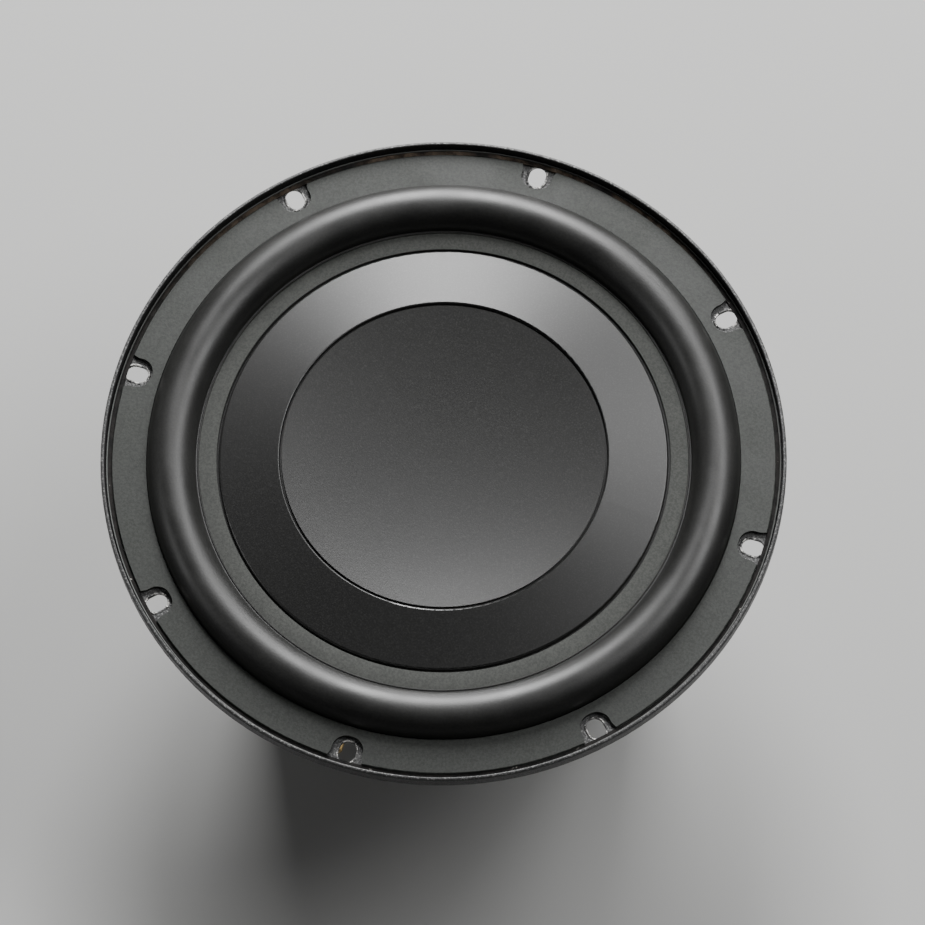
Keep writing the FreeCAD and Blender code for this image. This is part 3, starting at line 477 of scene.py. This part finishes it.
def tube_faces(count, rings, closed, start=0):
    """Faces through rings of count points each. A closed tube joins its last ring to its
    first; an open one has a face at each end."""
    faces = []
    for step in range(rings if closed else rings - 1):
        near, far = start + step * count, start + (step + 1) % rings * count
        for index in range(count):
            following = (index + 1) % count
            faces.append((near + index, near + following, far + following, far + index))
    if not closed:
        last = start + (rings - 1) * count
        faces.append(tuple(start + index for index in reversed(range(count))))
        faces.append(tuple(last + index for index in range(count)))
    return faces


def sweep(name, rings, closed, sharp=50.0):
    """Mesh through rings of points."""
    verts = [point for ring in rings for point in ring]
    return new_mesh(name, verts, tube_faces(len(rings[0]), len(rings), closed), sharp)


def lathe(name, section, steps):
    """Turn a closed outline of (radius, height) points round the Z axis."""
    rings = []
    for step in range(steps):
        cosine, sine = math.cos(TURN * step / steps), math.sin(TURN * step / steps)
        rings.append([(radius * cosine, radius * sine, height) for radius, height in section])
    return sweep(name, rings, closed=True, sharp=40.0)


def radial_blend(piece, outer, inner):
    """The piece stays with the frame outside one radius, moves with the cone inside the
    other, and stretches smoothly between them."""
    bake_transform(piece, "frame", "diaphragm", start=(outer, 0, 0), end=(inner, 0, 0))
    shares = piece.data.attributes["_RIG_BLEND"].data
    for vert, share in zip(piece.data.vertices, shares):
        radius = math.hypot(vert.co.x, vert.co.y)
        along = min(1.0, max(0.0, (outer - radius) / (outer - inner)))
        share.value = along * along * (3 - 2 * along)


# -------------------------------------------------------------------------- rubber and cloth


def make_surround(rubber, landing):
    """Half-roll: a flat landing on the cone ring, a moulded bead, the roll, a crease and the
    outer flat under the gasket."""
    middle = (ROLL_INNER + ROLL_OUTER) / 2
    half = (ROLL_OUTER - ROLL_INNER) / 2
    base = (LANDING_OUTER_TOP + GASKET_TOP) / 2
    rise = CROWN - base
    arc_radius = (half * half + rise * rise) / (2 * rise)
    arc_height = CROWN - arc_radius
    spread = math.asin(half / arc_radius)

    def arch(radius, turn_from, turn_to, steps):
        turns = [turn_from + (turn_to - turn_from) * step / steps for step in range(steps + 1)]
        return [(middle + radius * math.sin(turn), arc_height + radius * math.cos(turn))
                for turn in turns]

    edge = ((0, -0.8), (0, -0.28), (0.08, -0.08), (0.3, 0))
    bead = ((-1.32, 0.05), (-1.2, 0.3), (-1.02, 0.5), (-0.82, 0.5), (-0.64, 0.3), (-0.52, 0.05),
            (-0.1, 0.1))
    top = [(LANDING_INNER + beside * MM, LANDING_INNER_TOP + above * MM) for beside, above in edge]
    top += [(ROLL_INNER + beside * MM, LANDING_OUTER_TOP + above * MM) for beside, above in bead]
    top += arch(arc_radius, -spread * 0.97, spread * 0.985, 44)
    crease_depth, gap = 0.45 * MM, 0.02 * MM
    top += [(ROLL_OUTER + gap, GASKET_TOP - crease_depth)]
    top += [(ROLL_OUTER + 0.1 * MM, FLANGE_FLOOR + RUBBER - gap)]
    top += [(RUBBER_OUTER, FLANGE_FLOOR + RUBBER - gap)]
    under = [(RUBBER_OUTER, FLANGE_FLOOR + gap)]
    under += [(ROLL_OUTER - RUBBER * 0.9, FLANGE_FLOOR + gap)]
    under += arch(arc_radius - RUBBER, spread * 0.93, -spread * 0.9, 36)
    seat = RUBBER - 0.08 * MM
    under += [(ROLL_INNER - 0.2 * MM, LANDING_OUTER_TOP - seat)]
    under += [(LANDING_INNER, LANDING_INNER_TOP - seat)]
    piece = lathe("surround_roll", top + under, 540)
    piece.data.materials.append(rubber)
    piece.data.materials.append(landing)
    landing_edge = ROLL_INNER - 1.26 * MM
    for face in piece.data.polygons:
        centre = face.center
        face.material_index = 1 if math.hypot(centre.x, centre.y) < landing_edge else 0
    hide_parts("surround")
    radial_blend(piece, ROLL_OUTER - 0.6 * MM, ROLL_INNER + 0.6 * MM)


def make_spider(cloth):
    """Corrugated cloth, flat where it is glued to the basket's ledge and to the former."""
    neck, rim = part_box("coil_former")[1].x + 0.1 * MM, reach_of("spider")
    level = low_of("spider") + 2.07 * MM
    flat_from, rolls, depth, half_cloth = 64.3 * MM, 6, 1.9 * MM, 0.3 * MM
    pitch = (flat_from - neck - 3 * MM) / rolls
    line = [(rim, level)]
    for step in range(rolls * 16 + 1):
        along = step / 16
        fade = min(1.0, along * 2, (rolls - along) * 2)
        line.append((flat_from - pitch * along, level + depth * math.sin(TURN * along) * fade))
    line += [(neck + beside * MM, level + above * MM)
             for beside, above in ((1.2, 0), (0.35, 0.5), (0, 1.6))]
    section = [(radius, height + half_cloth) for radius, height in line]
    section += [(radius, height - half_cloth) for radius, height in reversed(line)]
    piece = lathe("spider_cloth_ring", section, 300)
    piece.data.materials.append(cloth)
    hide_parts("spider")
    radial_blend(piece, flat_from, neck + 3 * MM)


# ------------------------------------------------------------------------------------ leads

# From the solder lug to the eyelet in the cone, in millimetres, on the positive side.
LEAD_ROUTE = [
    (12.0, -82.2, -30.0),
    (12.0, -75.0, -30.0),
    (13.0, -66.5, -34.4),
    (14.2, -57.5, -35.4),
    (14.8, -49.0, -31.6),
    (14.3, -41.8, -26.2),
    (12.8, -36.5, -20.8),
]


def smooth_route(route, side):
    """Evenly spaced points on the smooth line that the route's points control."""
    curve = bpy.data.curves.new("lead_line", "CURVE")
    curve.dimensions = "3D"
    spline = curve.splines.new("NURBS")
    spline.points.add(len(route) - 1)
    for point, (x, y, z) in zip(spline.points, route):
        point.co = (side * x * MM, y * MM, z * MM, 1)
    spline.order_u = 3
    spline.use_endpoint_u = True
    spline.resolution_u = 16
    holder = bpy.data.objects.new("lead_line", curve)
    mesh = bpy.data.meshes.new_from_object(holder)
    points = [vert.co.copy() for vert in mesh.vertices]
    bpy.data.objects.remove(holder)
    bpy.data.meshes.remove(mesh)
    return points


def make_lead(pole, side, braid):
    """Flat-braided lead: eight strands each way, passing over and under each other."""
    line = smooth_route(LEAD_ROUTE, side)
    lengths = [0.0]
    for first, second in zip(line, line[1:]):
        lengths.append(lengths[-1] + (second - first).length)
    radius, strand, strands, pitch, sides = 0.68 * MM, 0.17 * MM, 8, 5.5 * MM, 6
    verts, faces = [], []
    for direction in (1, -1):
        for number in range(strands):
            faces += tube_faces(sides, len(line), closed=False, start=len(verts))
            for index, centre in enumerate(line):
                ahead = line[min(index + 1, len(line) - 1)] - line[max(index - 1, 0)]
                ahead.normalize()
                side_way = ahead.cross(Vector((0, 0, 1))).normalized()
                up_way = side_way.cross(ahead)
                turn = direction * TURN * lengths[index] / pitch + TURN * number / strands
                weave = math.cos(turn * strands * 0.5) * direction
                out = side_way * math.cos(turn) + up_way * math.sin(turn)
                middle = centre + out * (radius + weave * strand * 0.6)
                across = ahead.cross(out)
                for corner in range(sides):
                    angle = TURN * corner / sides
                    away = out * math.cos(angle) + across * math.sin(angle)
                    verts.append(middle + away * strand)
    piece = new_mesh(f"braided_lead_{pole}", verts, faces, 60)
    piece.data.materials.append(braid)
    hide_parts(f"tinsel_lead_{pole}")
    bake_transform(piece, "frame", "diaphragm", start=(0, -0.078, 0), end=(0, -0.0385, 0))


# ------------------------------------------------------------------- glue, burrs and springs


def ripple(source, orders):
    """A wavering line round a circle, between 0 and 1, from sines of the given orders."""
    waves = [(source.uniform(0.4, 1.0), order, source.uniform(0, TURN)) for order in orders]
    steepness = 2.56 / sum(size for size, _, _ in waves)

    def height(angle):
        total = sum(size * math.sin(order * angle + phase) for size, order, phase in waves)
        return 0.5 + 0.5 * math.tanh(steepness * total)
    return height


def make_glue(glue):
    """Dried glue in the gasket's groove: thick on the far side, a thin skin on the near one."""
    swell, edge = (ripple(random.Random(seed), orders) for seed, orders in
                   ((11, (9, 17, 31, 53, 97, 151)), (12, (13, 29, 61, 113))))
    steps, rings = 1440, []
    skin, most, overlap = 0.06 * MM, 1.15 * MM, 0.03 * MM
    low = GROOVE_FLOOR - 0.15 * MM
    inner, outer = GROOVE_INNER - overlap, GROOVE_OUTER + overlap
    for step in range(steps):
        angle = TURN * step / steps
        far = 0.5 + 0.5 * math.cos(angle - FAR_SIDE)
        fill = 0.1 + 0.9 * far ** 2.5
        height = GROOVE_FLOOR + skin + most * fill * (0.4 + 0.6 * swell(angle))
        middle = inner + (outer - inner) * (0.35 + 0.3 * edge(angle))
        ring = [(inner, low), (outer, low), (outer, height - 0.12 * MM),
                (middle, height), (inner, height - 0.05 * MM)]
        cosine, sine = math.cos(angle), math.sin(angle)
        rings.append([(radius * cosine, radius * sine, level) for radius, level in ring])
    piece = sweep("channel_glue", rings, closed=True)
    piece.data.materials.append(glue)
    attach(piece, "frame")


def make_slot_burrs(coat):
    """Ragged raised rim left round each screw slot where the sheet was pierced after coating.
    Each point of its section is its reach past the slot's edge and its level, both in
    millimetres, and its share of the ragged height."""
    section = [(-0.12, -0.45, 0.0), (-0.12, 0.0, 0.45), (0.1, 0.03, 1.0), (0.42, 0.03, 0.55),
               (0.95, -0.02, 0.0), (0.95, -0.2, 0.0)]
    steps, least, most, sway = 120, 0.05 * MM, 0.5 * MM, 0.16 * MM
    for slot in range(SCREWS):
        source = random.Random(40 + slot)
        rise, wander = ripple(source, (2, 3, 5, 9, 17, 29)), ripple(source, (3, 4, 7, 13, 23))
        toward = TURN * slot / SCREWS
        rings = []
        for step in range(steps):
            turn = TURN * step / steps
            high = least + most * rise(turn) ** 2
            shift = sway * (wander(turn) - 0.5)
            half = SLOT_STRAIGHT / 2 * (1 if math.cos(turn) >= 0 else -1)
            ring = []
            for offset, level, lift in section:
                reach = SLOT_RADIUS + offset * MM + (shift if lift else 0.0)
                along, across = half + reach * math.cos(turn), reach * math.sin(turn)
                ring.append(slot_place(toward, along, across,
                                       FLANGE_FLOOR + level * MM + high * lift))
            rings.append(ring)
        piece = sweep(f"slot_burr_{slot + 1}", rings, closed=True, sharp=70.0)
        piece.data.materials.append(coat)
        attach(piece, "frame")


def slot_place(toward, along, across, height):
    """A point beside a screw slot's centre: along the radius, across it, and its height."""
    radius = SCREW_CIRCLE + along
    return (radius * math.sin(toward) + across * math.cos(toward),
            radius * math.cos(toward) - across * math.sin(toward), height)


def make_springs(wire_look):
    """Coil spring of round wire behind each button, with most of a turn closed at each end.
    The wire's radius is a little less than in the CAD node."""
    for pole in ("positive", "negative"):
        low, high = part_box(f"button_spring_{pole}")
        centre_x, centre_z = (low.x + high.x) / 2, (low.z + high.z) / 2
        wire, cad_wire = 0.28 * MM, 0.3 * MM
        radius = (high.x - low.x) / 2 - cad_wire
        near, far = high.y - wire, low.y + wire
        turns, closed_end, steps, sides = 7.0, 0.8, 40, 10
        rings = []
        for step in range(int(turns * steps) + 1):
            share = step / (turns * steps)
            rise = (share * turns - closed_end) / (turns - 2 * closed_end)
            lead = min(max(rise, 0.0), 1.0)
            angle = TURN * share * turns
            out = Vector((math.cos(angle), 0, math.sin(angle)))
            middle = Vector((centre_x, near + (far - near) * lead, centre_z)) + out * radius
            rings.append([middle + (out * math.cos(TURN * side / sides)
                                    + Vector((0, 1, 0)) * math.sin(TURN * side / sides)) * wire
                          for side in range(sides)])
        piece = sweep(f"spring_coil_{pole}", rings, closed=False)
        piece.data.materials.append(wire_look)
        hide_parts(f"button_spring_{pole}")
        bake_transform(piece, "frame", f"{pole}_button", start=(0, near, 0), end=(0, far, 0))


# ------------------------------------------------------------------------------------ stage

FLOOR_LEVEL = low_of("yoke") - 0.05 * MM
FLOOR_HALF = 12.0
VIEW_AZIMUTH = math.radians(19.1)
VIEW_ELEVATION = math.radians(68.64)
VIEW_ROLL = math.radians(2.15)
VIEW_DISTANCE = 2.7925
AIM = Vector((7.96 * MM, -0.67 * MM, LIP_FRONT))
LENS = 280.7
BACKDROP = 0.3
LIGHT_DISTANCE = 2.0
# name, bearing from the camera's side and elevation in degrees, width, height and watts
LIGHTS = (
    ("key_softbox", 179, 32, 0.66, 1.15, 66),
    ("low_softbox", 150, 22, 0.6, 0.6, 8),
    ("right_softbox", 112, 53, 1.5, 0.7, 20),
    ("left_softbox", 270, 32, 0.6, 0.6, 3.0),
)


def direction(azimuth, elevation):
    """Unit vector towards a bearing; bearing 0 is -Y, and it grows towards +X."""
    level = math.cos(elevation)
    return Vector((math.sin(azimuth) * level, -math.cos(azimuth) * level, math.sin(elevation)))


def make_camera():
    camera = bpy.data.objects.new("camera", bpy.data.cameras.new("camera"))
    camera.data.lens = LENS
    camera.data.sensor_width = 36
    back = direction(VIEW_AZIMUTH, VIEW_ELEVATION)
    camera.location = AIM + back * VIEW_DISTANCE
    camera.rotation_mode = "QUATERNION"
    turn = Quaternion((0, 0, 1), -VIEW_ROLL)
    camera.rotation_quaternion = (-back).to_track_quat("-Z", "Y") @ turn
    bpy.context.scene.collection.objects.link(camera)
    bpy.context.scene.camera = camera


def make_light(name, bearing, elevation, width, height, watts):
    """A soft box that looks at the driver."""
    light = bpy.data.lights.new(name, "AREA")
    light.shape = "RECTANGLE"
    light.size = width
    light.size_y = height
    light.energy = watts
    lamp = bpy.data.objects.new(name, light)
    back = direction(VIEW_AZIMUTH + math.radians(bearing), math.radians(elevation))
    lamp.location = back * LIGHT_DISTANCE
    lamp.rotation_mode = "QUATERNION"
    lamp.rotation_quaternion = (-back).to_track_quat("-Z", "Y")
    bpy.context.scene.collection.objects.link(lamp)


def make_stage():
    """Pale floor that glows more with distance, painted light that blends it into the backdrop,
    four soft boxes, and a dim room whose backdrop only the camera sees."""
    look = Look("floor", (0.62, 0.62, 0.61), 0.75, Emission_Color=(1.0, 1.0, 0.98, 1.0))
    look.color(look.blend(look.noise(3, 3.0), (0.6, 0.6, 0.59), (0.64, 0.64, 0.63)))
    # Painted light: the floor glows, more strongly with distance from the driver, up to the backdrop's
    # brightness.
    glow = look.stretch(0.8, 4.0, look.radius(), 0.0, BACKDROP)
    look.tree.links.new(glow, look.shader.inputs["Emission Strength"])
    corners = [(-1, -1), (1, -1), (1, 1), (-1, 1)]
    verts = [(x * FLOOR_HALF, y * FLOOR_HALF, FLOOR_LEVEL) for x, y in corners]
    floor = new_mesh("floor", verts, [(0, 1, 2, 3)], 40.0)
    floor.data.materials.append(look.material)
    for light in LIGHTS:
        make_light(*light)
    world = bpy.data.worlds.new("studio")
    world.use_nodes = True
    tree = world.node_tree
    room, seen = tree.nodes["Background"], tree.nodes.new("ShaderNodeBackground")
    room.inputs["Color"].default_value = (0.8, 0.82, 0.85, 1)
    room.inputs["Strength"].default_value = 0.03
    seen.inputs["Color"].default_value = (1.0, 1.0, 0.98, 1)
    seen.inputs["Strength"].default_value = BACKDROP
    path, mix = tree.nodes.new("ShaderNodeLightPath"), tree.nodes.new("ShaderNodeMixShader")
    tree.links.new(path.outputs["Is Camera Ray"], mix.inputs[0])
    tree.links.new(room.outputs[0], mix.inputs[1])
    tree.links.new(seen.outputs[0], mix.inputs[2])
    tree.links.new(mix.outputs[0], tree.nodes["World Output"].inputs[0])
    bpy.context.scene.world = world


# ----------------------------------------------------------------------------------- making

make_camera()
looks = paint_nodes()
make_surround(roll_rubber(), landing_rubber())
make_spider(spider_cloth())
braid = bright_metal("copper_braid", (0.62, 0.36, 0.2), 0.35)
for pole, side in (("positive", 1), ("negative", -1)):
    make_lead(pole, side, braid)
make_glue(dried_glue())
make_slot_burrs(looks["basket"])
make_springs(looks["button_spring_positive"])
make_stage()
